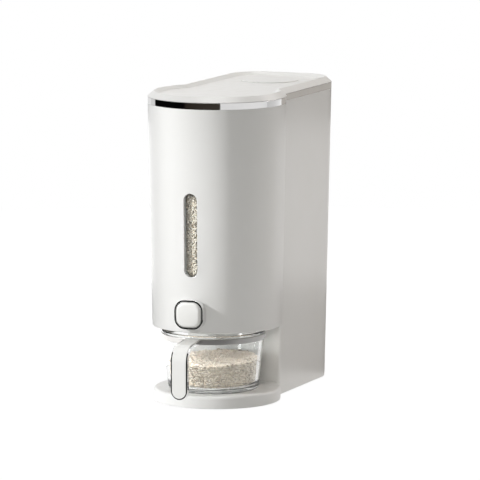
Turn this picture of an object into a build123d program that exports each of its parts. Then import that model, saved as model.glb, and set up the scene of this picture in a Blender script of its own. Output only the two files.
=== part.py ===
from build123d import *
import os
from math import asin, cos, radians, sin, sqrt, tan

# A counter-top rice dispenser: a round front drum joined to a narrower rear box, a bin inside,
# a push button that drops a flap under the bin's outlet, and a glass cup in the bay below.
# Millimetres. While it is modelled, x is across, y runs back from the drum's own axis and
# z runs up from the table. Each piece is then moved so that the origin lies under the middle.

# Outline of the shells
shell_top = 325.1          # top edge of the two shells
drum_radius_top = 75.0     # drum radius at shell_top
drum_draft = 0.019         # radius lost for each mm down
box_half_top = 62.1        # half width of the rear box at shell_top
box_draft = 0.023
rear_y = 208.5             # flat back of the rear box
rear_corner = 40.0         # plan radius of its two rear corners
neck_round = 3.0           # plan radius where the drum runs into the box
seam_back = 2.1            # the seam of the two shells lies this far behind that corner
wall = 2.6                 # shell thickness
drum_bottom = 83.1         # underside of the drum, the ceiling of the cup bay
drum_edge = 1.2            # rounding of the drum's lower edge
box_edge = 2.2             # rounding of the rear box's front edges in the bay
foot_edge = 0.6            # rounding where the shells end at the bottom
tongue_reach = 9.0         # how far the front shell's tongues enter the rear box
tongue_thick = 1.5
tongue_lift = 4.0          # the tongues start this far above the bay's ceiling
tongue_drop = 2.0          # and end this far below the chrome ring's leg
wall_rise = 3.0            # the bay's back wall runs on this far above the ceiling

# Base
foot_height = 1.0          # the feet stand this far below the plate
foot_radius = 8.0
foot_thick = 2.0
foot_chamfer = 0.4
foot_margin = 7.3          # between a foot and the inside of the wall
tray_top = 14.5
tray_edge = 3.0            # rounding of the tray's upper edge
plate_thick = 2.4
bridge_half = 14.0         # half width of the plate's bridge under the seam
boss_radius = 4.2
boss_height = 14.0
boss_roof = 2.0            # solid plastic over a boss's hole
boss_bite = 1.2            # how far a boss runs into the wall beside it
tray_boss_margin = 10.0
tray_boss_angle = 25.0
box_boss_front = 17.8      # behind the seam
box_boss_rear = 16.5       # ahead of the rear corners
screw_radius = 1.5
screw_head_radius = 2.9
screw_head = 1.8
screw_drive_radius = 1.0
screw_drive_depth = 0.9
plate_screw_length = 7.0

# Chrome ring and lid
ring_height = 7.2
ring_wall = 2.2
ring_edge = 0.3
ring_leg = 6.0             # depth of the ring's leg inside the shells
leg_thick = 1.5
ring_step = 3.3            # the leg's ledge below the ring's top
lid_gap = 0.2
lid_height = 5.8
lid_bevel = 6.5            # how far the lid's bevel leans in
lid_rim = 1.6              # crest between the bevel and the recess
lid_crest = 0.75           # rounding on both sides of the crest
lid_slope = 4.0            # width of the recess's sloping wall
lid_cove = 2.0             # rounding at the foot of that wall
lid_floor_thick = 2.3
skirt_depth = 8.0
skirt_thick = 1.6
skirt_clear = 0.6
seal_width = 2.8
seal_inset = 0.6

# Hinge behind the lid
hinge_radius = 3.5
hinge_pin_radius = 1.5
hinge_stand_off = 0.3
hinge_rise = 0.1           # the hinge axis lies this far above the ring
knuckle_half = 8.2         # half width of the fixed middle knuckle
knuckle_gap = 0.3
knuckle_width = 9.5        # each of the lid's two knuckles
lug_lift = 0.7             # underside of the lid's lugs above the underside of the lid
bracket_height = 22.0
bracket_thick = 2.0
bracket_corner = 3.0
bracket_drop = 0.8         # its plate ends this far under the knuckle
rivet_radius = 1.6
rivet_head = 1.0
rivet_flange = 1.2         # how much wider the head is than the shank
rivet_tail = 0.8
rivet_side = 4.0           # beside the middle knuckle
rivet_rise = 5.0           # above the bracket's lower edge

# Moisture cap and basket in the lid
cap_from_rear = 62.5
cap_radius = 32.0
cap_rise = 1.0
cap_edge = 0.5
cap_lip = 3.4              # the cap is this much wider than its plug
cap_plug_depth = 4.5
cap_wall = 1.8
cap_clear = 0.3
basket_depth = 17.0
basket_wall = 1.6
basket_clear = 0.8
basket_slot = 3.0
basket_slots = 5
basket_slot_share = 0.8    # of the chord that each slot could have

# Bin
bin_wall = 2.0
bin_side_gap = 0.3         # between the ring's leg and the bin
bin_flange = 2.0
neck_inside = 27.0         # square outlet
neck_y = -7.0
neck_depth = 5.0
rear_slope = 32.0          # degrees
front_slope = 18.0
side_slope = 30.0

# Window
slot_width = 15.1
slot_height = 90.5
slot_centre = 189.0
slot_edge = 0.6
slot_margin = 3.6          # the lens is this much wider than the slot all round
lens_thick = 1.2
lens_gap = 0.1
seal_margin = 1.0

# Button
button_z = 104.0
button_travel = 6.5
bezel_width = 33.5
bezel_height = 32.0
bezel_corner = 12.0
bezel_rim = 2.1            # width of the chrome rim round the button
bezel_edge = 0.5           # rounding of its outer front edge
bezel_lip = 0.4            # rounding of its inner front edge
bezel_stand = 7.0          # how far it stands in front of the drum
bezel_neck = 1.1           # the neck is this much smaller than the rim all round
bezel_neck_start = 4.0     # and starts this far behind the rim's front
button_proud = 3.0         # the button's crown ahead of the rim's front
button_clear = 0.25
button_crown = 1.3
button_edge = 4.0
button_front = 3.2         # thickness of the button's face
button_skirt = 1.8
press_gap = 0.6            # left between the skirt and the guide when pressed
rod_radius = 4.0
rod_clear = 0.06
rod_end_gap = 0.1
rod_socket = 6.0           # radius of the socket behind the button's face
socket_gap = 0.8           # the socket is this much shorter than the skirt
guide_set_back = 10.8      # front of the guide plate behind the drum's surface
guide_thick = 2.5
guide_half_width = 27.0
guide_half_height = 12.0
guide_sleeve = 12.0
guide_sleeve_wall = 2.4
guide_screw_x = 22.0
guide_screw_length = 4.0
spring_wire = 0.9
spring_radius = 7.4
spring_turns = 5.0
spring_end_gap = 0.1

# Chute, flap and crank
chute_side_room = 3.0      # beside the bin's neck
chute_front_room = 2.5     # ahead of it
chute_wall = 2.0
chute_drop = 2.0           # the mouth hangs this far below the drum
seat_thick = 5.0           # the block that the bin's neck plugs into
seat_rise = 1.0            # over the flap's hub
neck_clear = 0.2
flap_thick = 2.4
flap_seat_gap = 0.2
flap_side_gap = 1.0
flap_overlap = 1.3
hub_radius = 3.0
hub_room = 1.5             # behind the hub
crank_length = 13.0
shaft_radius = 1.6
shaft_clear = 0.06
crank_thick = 2.5
crank_gap = 0.7
crank_half = 3.6
crank_pin_radius = 1.5
crank_pin_clear = 0.3
crank_pin_end = 0.8        # the pin runs this far past the yoke's arm
yoke_gap = 0.8
yoke_thick = 3.0
yoke_half_height = 5.5
yoke_bar = 4.0
yoke_bar_gap = 2.5         # behind the guide's sleeve
yoke_tail = 5.0            # behind the crank's pin
flange_thick = 2.4
flange_reach = 7.5
flange_corner = 4.0
chute_boss = 5.3
chute_screw_length = 6.0
chute_screw_margin = 0.6   # between a screw's head and the flange's edge

# Cup
cup_gap = 0.3              # between the cup and the tray
cup_headroom = 3.8         # between the cup's rim and the drum
cup_rim_radius = 55.6
cup_foot_radius = 49.3
cup_corner = 4.0
cup_wall = 3.2
cup_floor = 4.0
cup_inner_corner = 7.0
cup_bead = 1.0             # how far the rim bead stands proud of the wall
bead_height = 3.0
bead_under = 0.5           # roundings of the bead and the rim
bead_over = 1.0
rim_inside = 1.6
band_drop = 0.1            # between the bead and the band
band_height = 6.2
band_thick = 1.3
band_gap = 0.1
band_edge = 0.4
nook_depth = 4.04          # the rim reaches into a hollow of the bay's back wall
nook_clear = 1.6           # round the rim

# Handle
handle_width = 19.4
handle_thick = 4.5
handle_reach = 37.7        # ahead of the cup's rim
handle_foot = 1.0          # its lower end above the tray
handle_bend = 17.5
handle_fall = 0.12         # fall of the upper arm for each mm forward
handle_drop = 0.2          # its upper face below the band's top
handle_edge = 0.4
insert_border = 1.5
insert_depth = 1.3
insert_proud = 0.35
insert_gap = 0.1
insert_edge = 0.3
insert_end_gap = 0.3       # between the insert and the band

# Clearances and overlaps that repeat
far = 500.0                # past everything, for cutting blocks
over = 1.0                 # how far a cut runs past the face that it opens
skin = 1.0                 # bosses and ribs stop this far under an outer face
fuse = 0.5                 # overlap of two shapes that become one piece
touch = 0.05               # between faces that lie on each other
moulding_gap = 0.15        # between mouldings that plug into each other
plate_gap = 0.25
opening_gap = 0.2          # round what passes through an opening
shank_gap = 0.2            # radial, round a screw's shank
head_gap = 0.3             # radial, round a screw's head
boss_wall = 0.5            # a small boss is this much wider than the screw's head

# Worked out from the sizes above
seam_y = sqrt(drum_radius_top ** 2 - box_half_top ** 2) + seam_back
ring_top = shell_top + ring_height
lid_bottom = ring_top + lid_gap
lid_top = lid_bottom + lid_height
lid_floor = lid_bottom + lid_floor_thick
ledge_z = ring_top - ring_step
leg_outer = wall + moulding_gap
leg_inner = leg_outer + leg_thick
bin_outer = leg_inner + bin_side_gap
bin_inner = bin_outer + bin_wall
bin_top = ledge_z + bin_flange
skirt_outer = bin_inner + skirt_clear
plate_top = foot_height + plate_thick
bay_ceiling = drum_bottom + wall
pivot_z = button_z + crank_length
seat_bottom = pivot_z + hub_radius + seat_rise
seat_top = seat_bottom + seat_thick
flap_top = seat_bottom - flap_seat_gap
neck_outside = neck_inside + 2 * bin_wall
chute_half = neck_outside / 2 + chute_side_room
chute_front = neck_y - neck_outside / 2 - chute_front_room
pivot_y = neck_y + neck_outside / 2 + hub_radius
chute_back = pivot_y + hub_radius + hub_room
flange_z = bay_ceiling + chute_boss
hinge_y = rear_y + hinge_stand_off + hinge_radius
hinge_z = ring_top + hinge_rise
cap_y = rear_y - cap_from_rear
cap_plug_radius = cap_radius - cap_lip
flap_open = asin(button_travel / crank_length)
nook_radius = cup_rim_radius + cup_bead + nook_clear
cup_y = seam_y + nook_depth - nook_radius
cup_bottom = tray_top + cup_gap
cup_top = drum_bottom - cup_headroom
cup_slope = (cup_rim_radius - cup_foot_radius) / (cup_top - cup_bottom)
band_top = cup_top - bead_height - band_drop
band_low = band_top - band_height
handle_front = cup_y - cup_rim_radius - handle_reach
handle_bottom = tray_top + handle_foot
middle_y = (hinge_y + hinge_radius + handle_front - insert_proud) / 2


def drum_radius(z):
    return drum_radius_top - drum_draft * (shell_top - z)


def box_half(z):
    return box_half_top - box_draft * (shell_top - z)


def cup_radius(z):
    return cup_foot_radius + cup_slope * (z - cup_bottom)


bezel_front = -(drum_radius(button_z) + bezel_stand)
button_face = bezel_front - button_proud
guide_face = guide_set_back - drum_radius(button_z)
skirt_end = guide_face - button_travel - press_gap


def on_circle(radius, angle):
    return radius * cos(radians(angle)), radius * sin(radians(angle))


def both_sides(places):
    return places + [(-x, y) for x, y in places]


# Places that two pieces share
base_radius = drum_radius(foot_height)
base_half = box_half(foot_height)
tray_boss_circle = base_radius - wall - boss_radius - tray_boss_margin
tray_bosses = [(0.0, -tray_boss_circle)] + both_sides([on_circle(tray_boss_circle, tray_boss_angle)])
box_boss_x = base_half - wall - boss_radius + boss_bite
box_bosses = both_sides([
    (box_boss_x, seam_y + box_boss_front),
    (box_boss_x, rear_y - rear_corner - box_boss_rear),
])
foot_front = on_circle(base_radius - wall - foot_radius - foot_margin, -45)
foot_turn = on_circle(rear_corner - wall - foot_radius - foot_margin, 45)
foot_rear = (base_half - rear_corner + foot_turn[0], rear_y - rear_corner + foot_turn[1])
feet = both_sides([foot_front, foot_rear])
chute_screw_inset = flange_reach - screw_head_radius - chute_screw_margin
chute_bosses = both_sides([
    (chute_half + chute_wall + chute_screw_inset, chute_front - chute_wall - chute_screw_inset),
    (chute_half + chute_wall + chute_screw_inset, chute_back + chute_wall + chute_screw_inset),
])
rivet_places = both_sides([(knuckle_half + rivet_side, hinge_z - bracket_height + rivet_rise)])
guide_screw_places = both_sides([(guide_screw_x, button_z)])


def box_outline(z, inset, front):
    half = box_half(z) - inset
    back = rear_y - inset
    corner = rear_corner - inset
    turn = half - corner
    right = Line((half, front), (half, back - corner))
    right_arc = RadiusArc((half, back - corner), (turn, back), -corner)
    rear = Line((turn, back), (-turn, back))
    left_arc = RadiusArc((-turn, back), (-half, back - corner), -corner)
    left = Line((-half, back - corner), (-half, front))
    close = Line((-half, front), (half, front))
    return make_face([right, right_arc, rear, left_arc, left, close])


def box_block(z0, inset0, z1, inset1, front=0.0):
    low = Pos(0, 0, z0) * box_outline(z0, inset0, front)
    high = Pos(0, 0, z1) * box_outline(z1, inset1, front)
    return loft([low, high], ruled=True)


def drum_block(z0, inset0, z1, inset1):
    low = drum_radius(z0) - inset0
    high = drum_radius(z1) - inset1
    block = Cone(low, high, z1 - z0, align=(Align.CENTER, Align.CENTER, Align.MIN))
    return Pos(0, 0, z0) * block


def straight_keyhole(z0, inset0, z1, inset1):
    # the drum and the box in one block, with a sharp corner where they meet
    return drum_block(z0, inset0, z1, inset1) + box_block(z0, inset0, z1, inset1)


def keyhole(z0, inset0, z1, inset1):
    # the same with that corner rounded
    block = straight_keyhole(z0, inset0, z1, inset1)
    inset = (inset0 + inset1) / 2
    half = box_half((z0 + z1) / 2) - inset
    meet_y = sqrt((drum_radius((z0 + z1) / 2) - inset) ** 2 - half ** 2)

    def at_neck(edge):
        middle = edge.position_at(0.5)
        return abs(abs(middle.X) - half) < fuse and abs(middle.Y - meet_y) < fuse

    return fillet(block.edges().filter_by(at_neck), neck_round + min(inset0, inset1))


def cup_block(grow):
    # the cup's own taper, grown by a clearance, over its whole height
    low = cup_radius(0) + grow
    high = cup_radius(cup_top) + grow
    block = Cone(low, high, cup_top, align=(Align.CENTER, Align.CENTER, Align.MIN))
    return Pos(0, cup_y, 0) * block


def span(x0, x1, y0, y1, z0, z1):
    block = Box(x1 - x0, y1 - y0, z1 - z0, align=(Align.MIN, Align.MIN, Align.MIN))
    return Pos(x0, y0, z0) * block


def ahead_of(y):
    return span(-far, far, -far, y, -far, far)


def behind(y):
    return span(-far, far, y, far, -far, far)


def post(x, y, z0, z1, radius):
    return Pos(x, y, z0) * Cylinder(radius, z1 - z0, align=(Align.CENTER, Align.CENTER, Align.MIN))


def rod_along_y(x, z, y0, y1, radius):
    rod = Cylinder(radius, y1 - y0, align=(Align.CENTER, Align.CENTER, Align.MIN))
    return Pos(x, y0, z) * Rot(-90, 0, 0) * rod


def rod_along_x(y, z, x0, x1, radius):
    rod = Cylinder(radius, x1 - x0, align=(Align.CENTER, Align.CENTER, Align.MIN))
    return Pos(x0, y, z) * Rot(0, 90, 0) * rod


def front_prism(shape, z, y0, y1):
    # a flat shape seen from the front, carried back from y0 to y1
    face = Plane(origin=(0, y0, z), x_dir=(1, 0, 0), z_dir=(0, 1, 0)) * shape
    return extrude(face, amount=y1 - y0)


def drum_front_cut(shape, z):
    # opens the drum's front wall and stops well short of its axis
    return front_prism(shape, z, -far, -drum_radius_top / 2)


def window_shape(margin):
    return SlotOverall(slot_height + 2 * margin, slot_width + 2 * margin, rotation=90)


def bezel_shape(grow):
    return RectangleRounded(bezel_width + 2 * grow, bezel_height + 2 * grow, bezel_corner + grow)


def mirrored(shape):
    return shape + mirror(shape, Plane.YZ)


def edges_at(body, z):
    return body.edges().filter_by(lambda e: abs(e.center().Z - z) < touch)


def screw(length):
    # head above z = 0 with a round drive hole, shank below
    head = post(0, 0, 0, screw_head, screw_head_radius)
    head -= post(0, 0, screw_head - screw_drive_depth, screw_head + over, screw_drive_radius)
    return head + post(0, 0, -length, 0, screw_radius)


def rear_housing():
    low = box_block(foot_height, 0, drum_bottom, 0, front=seam_y)
    upright = low.edges().filter_by(lambda e: abs((e % 0.5).Z) > 0.9 and e.center().Y < seam_y + fuse)
    low = fillet(upright, box_edge)
    low = fillet(edges_at(low, foot_height), foot_edge)
    outer = low + box_block(drum_bottom, 0, shell_top, 0, front=seam_y)
    room = box_block(foot_height - over, wall, shell_top + over, wall, front=seam_y + wall)
    # above the bay the front is open, so that the two shells hold one space
    upper = box_block(bay_ceiling + wall_rise, wall, shell_top + over, wall, front=seam_y - over)
    shell = outer - room - upper
    limit = box_block(foot_height, skin, shell_top, skin, front=seam_y)
    nook = post(0, cup_y, tray_top - wall, bay_ceiling + wall_rise, nook_radius + wall)
    shell += nook & behind(seam_y + fuse) & limit
    shell -= post(0, cup_y, tray_top, bay_ceiling + wall_rise + over, nook_radius)
    for x, y in box_bosses:
        shell += post(x, y, plate_top, plate_top + boss_height, boss_radius) & limit
    shell -= bridge_notch()
    for x, y in box_bosses:
        shell -= post(x, y, 0, plate_top + boss_height - boss_roof, screw_radius)
    for x, z in rivet_places:
        shell -= rod_along_y(x, z, rear_y - wall - over, rear_y + over, rivet_radius)
    return shell


def bridge_notch():
    # room for the bottom plate's bridge under the walls that meet at the seam
    half = bridge_half + plate_gap
    return span(-half, half, seam_y - 2 * wall, seam_y + 2 * wall, 0, plate_top + plate_gap)


def front_shell():
    outer = keyhole(drum_bottom, 0, shell_top, 0)
    outer = fillet(edges_at(outer, drum_bottom), drum_edge) & ahead_of(seam_y)
    body = outer - keyhole(bay_ceiling, wall, shell_top + over, wall)
    body -= drum_front_cut(window_shape(0), slot_centre)
    body = fillet(window_rim(body), slot_edge)
    # tongues that slide inside the rear box's side walls, and the ties that carry them
    low = bay_ceiling + tongue_lift
    high = shell_top - ring_leg - tongue_drop
    tongue_in = leg_outer + tongue_thick
    tongues = box_block(low, leg_outer, high, leg_outer)
    tongues -= box_block(low - over, tongue_in, high + over, tongue_in)
    body += tongues & span(-far, far, seam_y - tongue_thick, seam_y + tongue_reach, 0, far)
    ties = box_block(low, wall - fuse, high, wall - fuse)
    ties -= box_block(low - over, leg_outer + fuse, high + over, leg_outer + fuse)
    body += ties & span(-far, far, seam_y - tongue_thick, seam_y - opening_gap, 0, far)
    # openings for the button's neck and the chute
    body -= drum_front_cut(bezel_shape(moulding_gap - bezel_neck), button_z)
    hole_x = chute_half + chute_wall + opening_gap
    hole_front = chute_front - chute_wall - opening_gap
    hole_back = chute_back + chute_wall + opening_gap
    body -= span(-hole_x, hole_x, hole_front, hole_back, drum_bottom - over, bay_ceiling + over)
    for x, y in chute_bosses:
        body += post(x, y, bay_ceiling - fuse, flange_z, screw_head_radius + boss_wall)
        body -= post(x, y, bay_ceiling, flange_z + over, screw_radius)
    for x, z in guide_screw_places:
        stub = rod_along_y(x, z, -far, guide_face, screw_head_radius + boss_wall)
        body += stub & drum_block(drum_bottom, skin, shell_top, skin)
        body -= rod_along_y(x, z, guide_face - guide_screw_length - over, guide_face + over, screw_radius)
    return body


def window_rim(body):
    # the window's edges on the outside of the drum
    def on_rim(edge):
        p = edge.position_at(0.5)
        near = abs(p.X) < slot_width / 2 + touch and abs(p.Z - slot_centre) < slot_height / 2 + touch
        return near and p.Y < 0 and sqrt(p.X ** 2 + p.Y ** 2) > drum_radius(p.Z) - wall / 2
    return body.edges().filter_by(on_rim)


def base_tray():
    outer = drum_block(foot_height, 0, tray_top, 0) & ahead_of(seam_y)
    rim = edges_at(outer, tray_top).filter_by(GeomType.CIRCLE)
    outer = fillet(rim, tray_edge)
    outer = fillet(edges_at(outer, foot_height).filter_by(GeomType.CIRCLE), foot_edge)
    room = drum_block(foot_height - over, wall, tray_top - wall, wall) & ahead_of(seam_y - wall)
    tray = outer - room
    for x, y in tray_bosses:
        tray += post(x, y, plate_top, tray_top - wall / 2, boss_radius)
        tray -= post(x, y, 0, tray_top - wall, screw_radius)
    return tray - bridge_notch()


def bottom_plate():
    inset = wall + plate_gap
    plate = straight_keyhole(foot_height, inset, plate_top, inset)
    # the rear box's front wall and the tray's rear wall come down through the plate
    walls = span(-far, far, seam_y - inset, seam_y + inset, 0, far)
    plate -= walls - span(-bridge_half, bridge_half, -far, far, 0, far)
    for x, y in tray_bosses + box_bosses:
        plate -= post(x, y, 0, foot_height + screw_head + touch, screw_head_radius + head_gap)
        plate -= post(x, y, 0, far, screw_radius + shank_gap)
    for x, y in feet:
        plate -= post(x, y, 0, foot_thick, foot_radius + moulding_gap)
    return plate


def bottom_screws():
    upside_down = Rot(180, 0, 0) * screw(plate_screw_length)
    head_top = foot_height + screw_head + touch
    return [Pos(x, y, head_top) * upside_down for x, y in tray_bosses + box_bosses]


def rubber_feet():
    pads = []
    for x, y in feet:
        pad = post(x, y, 0, foot_thick, foot_radius)
        pads.append(chamfer(pad.edges().sort_by(Axis.Z)[0], foot_chamfer))
    return pads


def chrome_ring():
    band = keyhole(shell_top, 0, ring_top, 0)
    band = fillet(edges_at(band, shell_top) + edges_at(band, ring_top), ring_edge)
    band -= keyhole(shell_top - over, ring_wall, ring_top + over, ring_wall)
    leg = keyhole(shell_top - ring_leg, leg_outer, shell_top, leg_outer)
    leg += keyhole(shell_top, ring_wall - fuse, ledge_z, ring_wall - fuse)
    leg -= keyhole(shell_top - ring_leg - over, leg_inner, ledge_z + over, leg_inner)
    return band + leg


def hinge_knuckle(x0, x1):
    return rod_along_x(hinge_y, hinge_z, x0, x1, hinge_radius)


def lid():
    body = keyhole(lid_bottom, 0, lid_top, lid_bevel)
    inner = lid_bevel + lid_rim
    lean = lid_slope / (lid_top - lid_floor)
    body -= keyhole(lid_floor, inner + lid_slope, lid_top + over, inner - over * lean)
    body = fillet(edges_at(body, lid_top), lid_crest)
    body = fillet(edges_at(body, lid_floor), lid_cove)
    skirt = keyhole(lid_bottom - skirt_depth, skirt_outer, lid_bottom + fuse, skirt_outer)
    skirt_in = skirt_outer + skirt_thick
    skirt -= keyhole(lid_bottom - skirt_depth - over, skirt_in, lid_bottom, skirt_in)
    body += skirt
    body -= post(0, cap_y, lid_bottom - over, lid_top, cap_plug_radius + cap_clear)
    first = knuckle_half + knuckle_gap
    last = first + knuckle_width
    lug_front = rear_y - lid_bevel - over
    for x0, x1 in ((first, last), (-last, -first)):
        body += span(x0, x1, lug_front, hinge_y, lid_bottom + lug_lift, hinge_z + hinge_radius)
        body += hinge_knuckle(x0, x1)
    body -= rod_along_x(hinge_y, hinge_z, -last - over, last + over, hinge_pin_radius + touch)
    return body


def lid_seal():
    outer = bin_inner - seal_inset
    inner = outer - seal_width
    low = bin_top + lens_gap
    return keyhole(low, inner, lid_bottom, inner) - keyhole(low - over, outer, lid_bottom + over, outer)


def hinge_bracket():
    half = knuckle_half + rivet_side + rivet_radius + rivet_flange + over
    low = hinge_z - bracket_height
    high = hinge_z - hinge_radius - bracket_drop
    plate = span(-half, half, rear_y, rear_y + bracket_thick, low, high)
    plate = fillet(plate.edges().filter_by(Axis.Y), bracket_corner)
    stem = span(-knuckle_half, knuckle_half, rear_y + hinge_stand_off, hinge_y, high - bracket_thick, hinge_z)
    body = plate + stem + hinge_knuckle(-knuckle_half, knuckle_half)
    body -= rod_along_x(hinge_y, hinge_z, -half - over, half + over, hinge_pin_radius)
    for x, z in rivet_places:
        body -= rod_along_y(x, z, rear_y - over, hinge_y + hinge_radius, rivet_radius)
    return body


def hinge_pin():
    reach = knuckle_half + knuckle_gap + knuckle_width
    return rod_along_x(hinge_y, hinge_z, -reach, reach, hinge_pin_radius)


def hinge_rivets():
    rivets = []
    front = rear_y - wall
    back = rear_y + bracket_thick
    for x, z in rivet_places:
        shank = rod_along_y(x, z, front, back, rivet_radius)
        head = rod_along_y(x, z, back, back + rivet_head, rivet_radius + rivet_flange)
        head = fillet(head.edges().sort_by(Axis.Y)[-1], rivet_head / 2)
        tail = rod_along_y(x, z, front - rivet_tail, front, rivet_radius + rivet_tail)
        rivets.append(shank + head + tail)
    return rivets


def moisture_cap():
    low = lid_floor + lens_gap
    disc = post(0, cap_y, low, low + cap_rise, cap_radius)
    disc = fillet(disc.edges().sort_by(Axis.Z)[-1], cap_edge)
    plug = post(0, cap_y, lid_floor - cap_plug_depth, low + fuse, cap_plug_radius)
    plug -= post(0, cap_y, lid_floor - cap_plug_depth - over, low, cap_plug_radius - cap_wall)
    return disc + plug


def moisture_basket():
    radius = cap_plug_radius + basket_clear
    low = lid_bottom - basket_depth
    body = post(0, cap_y, low, lid_bottom, radius + basket_wall)
    body -= post(0, cap_y, low + basket_wall, lid_bottom + over, radius)
    pitch = 2 * radius / (basket_slots + 1)
    for i in range(basket_slots):
        x = (i - (basket_slots - 1) / 2) * pitch
        half = basket_slot_share * sqrt(radius ** 2 - x ** 2)
        x0, x1 = x - basket_slot / 2, x + basket_slot / 2
        body -= span(x0, x1, cap_y - half, cap_y + half, low - over, low + basket_wall + over)
    return body


def hopper_funnel(size, z, top):
    # four sloping floors round a square outlet
    rise = top - z
    half = size / 2
    back = rise / tan(radians(rear_slope))
    front = rise / tan(radians(front_slope))
    side = rise / tan(radians(side_slope))
    low = Pos(0, neck_y, z) * Rectangle(size, size)
    y0, y1 = neck_y - half - front, neck_y + half + back
    high = Pos(0, (y0 + y1) / 2, top) * Rectangle(size + 2 * side, y1 - y0)
    return loft([low, high], ruled=True)


def neck_block(size, z0, z1):
    return span(-size / 2, size / 2, neck_y - size / 2, neck_y + size / 2, z0, z1)


def grain_bin():
    top = bin_top + over
    outer = straight_keyhole(seat_top, bin_outer, bin_top, bin_outer)
    outer &= hopper_funnel(neck_outside, seat_top, top)
    room = straight_keyhole(seat_top, bin_inner, top, bin_inner)
    room &= hopper_funnel(neck_inside, seat_top + bin_wall, top)
    body = outer - room
    flange = keyhole(ledge_z, ring_wall + opening_gap, bin_top, ring_wall + opening_gap)
    body += flange - keyhole(ledge_z - over, bin_inner, top, bin_inner)
    body += neck_block(neck_outside, seat_top - neck_depth, seat_top + bin_wall)
    body -= neck_block(neck_inside, seat_top - neck_depth - over, seat_top + bin_wall + over)
    return body - drum_front_cut(window_shape(0), slot_centre)


def curved_panel(inset0, inset1, margin):
    low, high = slot_centre - slot_height, slot_centre + slot_height
    panel = drum_block(low, inset0, high, inset0) - drum_block(low - over, inset1, high + over, inset1)
    return panel & drum_front_cut(window_shape(margin), slot_centre)


def window_lens():
    return curved_panel(wall + lens_gap, wall + lens_gap + lens_thick, slot_margin)


def window_seal():
    ring = curved_panel(wall + lens_gap + lens_thick + touch, bin_outer - touch, slot_margin)
    return ring - drum_front_cut(window_shape(seal_margin), slot_centre)


def button_bezel():
    rim = front_prism(bezel_shape(0), button_z, bezel_front, guide_face)
    rim = fillet(rim.edges().group_by(Axis.Y)[0], bezel_edge)
    rim -= drum_block(drum_bottom, -touch, shell_top, -touch)
    neck_front = bezel_front + bezel_neck_start
    neck = front_prism(bezel_shape(-bezel_neck), button_z, neck_front, guide_face - touch)
    body = rim + neck
    body -= front_prism(bezel_shape(-bezel_rim), button_z, bezel_front - over, guide_face + over)

    def on_lip(edge):
        box = edge.bounding_box()
        across = max(-box.min.X, box.max.X) < bezel_width / 2 - bezel_rim + touch
        up = max(button_z - box.min.Z, box.max.Z - button_z) < bezel_height / 2 - bezel_rim + touch
        return across and up

    return fillet(body.edges().group_by(Axis.Y)[0].filter_by(on_lip), bezel_lip)


def button_cap():
    outline = -bezel_rim - button_clear
    body = front_prism(bezel_shape(outline), button_z, button_face, skirt_end)
    dome_radius = (bezel_width / 2) ** 2 / (2 * button_crown)
    body &= Pos(0, button_face + dome_radius, button_z) * Sphere(dome_radius)
    body = fillet(body.edges().group_by(Axis.Y)[0], button_edge)
    inside = button_face + button_front
    body -= front_prism(bezel_shape(outline - button_skirt), button_z, inside, skirt_end + over)
    body += rod_along_y(0, button_z, inside - fuse, skirt_end - socket_gap, rod_socket)
    return body - rod_along_y(0, button_z, inside, skirt_end + over, rod_radius)


def push_rod():
    start = button_face + button_front + rod_end_gap
    bar = guide_face + guide_thick + guide_sleeve + yoke_bar_gap
    stem = rod_along_y(0, button_z, start, bar + fuse, rod_radius)
    arm_in = chute_half + chute_wall + crank_gap + crank_thick + yoke_gap
    arm_out = arm_in + yoke_thick
    low, high = button_z - yoke_half_height, button_z + yoke_half_height
    cross = span(-arm_out, arm_out, bar, bar + yoke_bar, low, high)
    arm = span(arm_in, arm_out, bar, pivot_y + yoke_tail, low, high)
    # the pin rises a little in the slot as the crank turns
    slot_half = crank_pin_radius + crank_pin_clear
    rise = crank_length * (1 - cos(flap_open))
    slot_low = button_z - slot_half - crank_pin_clear
    slot_high = button_z + rise + slot_half + crank_pin_clear
    arm -= span(arm_in - over, arm_out + over, pivot_y - slot_half, pivot_y + slot_half, slot_low, slot_high)
    return stem + cross + mirrored(arm)


def button_guide():
    z0, z1 = button_z - guide_half_height, button_z + guide_half_height
    back = guide_face + guide_thick
    body = span(-guide_half_width, guide_half_width, guide_face, back, z0, z1)
    body += rod_along_y(0, button_z, guide_face, back + guide_sleeve, rod_radius + guide_sleeve_wall)
    body -= rod_along_y(0, button_z, guide_face - over, back + guide_sleeve + over, rod_radius + rod_clear)
    for x, z in guide_screw_places:
        body -= rod_along_y(x, z, guide_face - over, back + over, screw_radius + shank_gap)
    return body


def guide_screws():
    facing_back = Rot(-90, 0, 0) * screw(guide_screw_length + guide_thick)
    return [Pos(x, guide_face + guide_thick, z) * facing_back for x, z in guide_screw_places]


def button_spring():
    start = button_face + button_front + spring_wire / 2 + spring_end_gap
    stop = guide_face - spring_wire / 2 - spring_end_gap
    pitch = (stop - start) / spring_turns
    path = Helix(pitch=pitch, height=stop - start, radius=spring_radius)
    section = Plane(origin=path @ 0, z_dir=path % 0) * Circle(spring_wire / 2)
    coil = sweep(section, path=path)
    return Pos(0, start, button_z) * Rot(-90, 0, 0) * coil


def outlet_chute():
    outside = chute_half + chute_wall
    front, back = chute_front - chute_wall, chute_back + chute_wall
    body = span(-outside, outside, front, back, drum_bottom - chute_drop, seat_top)
    body -= span(-chute_half, chute_half, chute_front, chute_back, 0, seat_bottom)
    body -= neck_block(neck_outside + 2 * neck_clear, seat_bottom - over, seat_top + over)
    wide = outside + flange_reach
    flange = span(-wide, wide, front - flange_reach, back + flange_reach, flange_z, flange_z + flange_thick)
    flange = fillet(flange.edges().filter_by(Axis.Z), flange_corner)
    flange -= span(-outside + fuse, outside - fuse, front + fuse, back - fuse, 0, far)
    body += flange
    for x, y in chute_bosses:
        body -= post(x, y, flange_z - over, flange_z + flange_thick + over, screw_radius + shank_gap)
    return body - rod_along_x(pivot_y, pivot_z, -far, far, shaft_radius + shaft_clear)


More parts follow.
